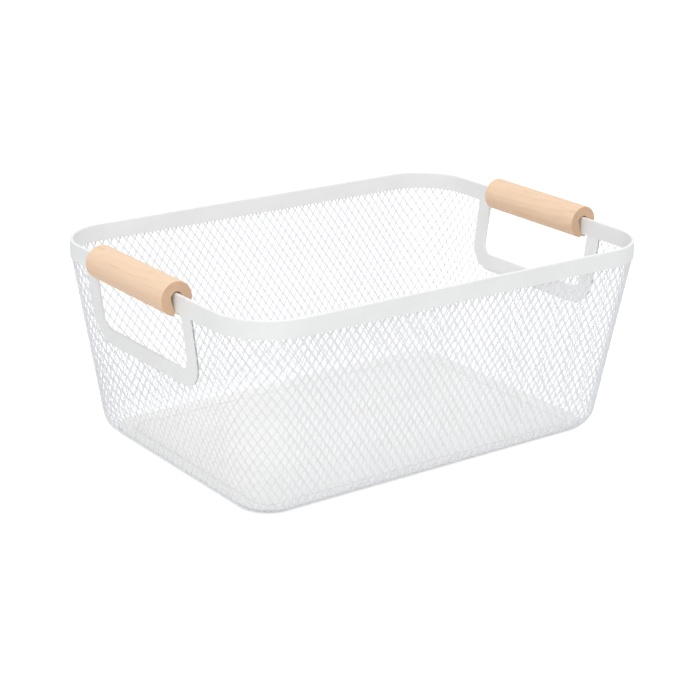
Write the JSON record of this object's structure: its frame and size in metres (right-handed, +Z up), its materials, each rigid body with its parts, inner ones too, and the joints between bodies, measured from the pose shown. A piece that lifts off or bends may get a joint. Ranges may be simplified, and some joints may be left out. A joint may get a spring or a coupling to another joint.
{
  "type": "mesh storage basket",
  "caption": "Tapered rectangular basket of white steel mesh with a folded rim band, a solid floor pan, framed hand holes and wooden dowel grips at both ends.",
  "frame": {"origin": "centre of the basket's footprint, on the plane it stands on", "axes": "+X along the long side towards the right-hand grip, +Y towards the back long side, +Z up"},
  "size_m": [0.382, 0.266, 0.1575],
  "materials": {
    "mesh_white": "white powder coat, satin, over expanded steel",
    "sheet_white": "white powder coat, satin, over sheet steel",
    "grip_wood": "pale sanded beech, matt clear coat"
  },
  "bodies": {
    "root": {"mesh_foot": "mesh_white", "mesh_front": "mesh_white", "mesh_back": "mesh_white", "mesh_left_low": "mesh_white", "mesh_left_front": "mesh_white", "mesh_left_back": "mesh_white", "mesh_right_low": "mesh_white", "mesh_right_front": "mesh_white", "mesh_right_back": "mesh_white", "mesh_corner_left_front": "mesh_white", "mesh_corner_left_back": "mesh_white", "mesh_corner_right_front": "mesh_white", "mesh_corner_right_back": "mesh_white", "rim_band": "sheet_white", "hand_frame_left_outer": "sheet_white", "hand_frame_left_inner": "sheet_white", "hand_frame_right_outer": "sheet_white", "hand_frame_right_inner": "sheet_white", "floor_pan": "sheet_white", "grip_left": "grip_wood", "grip_right": "grip_wood"}
  },
  "joints": []
}
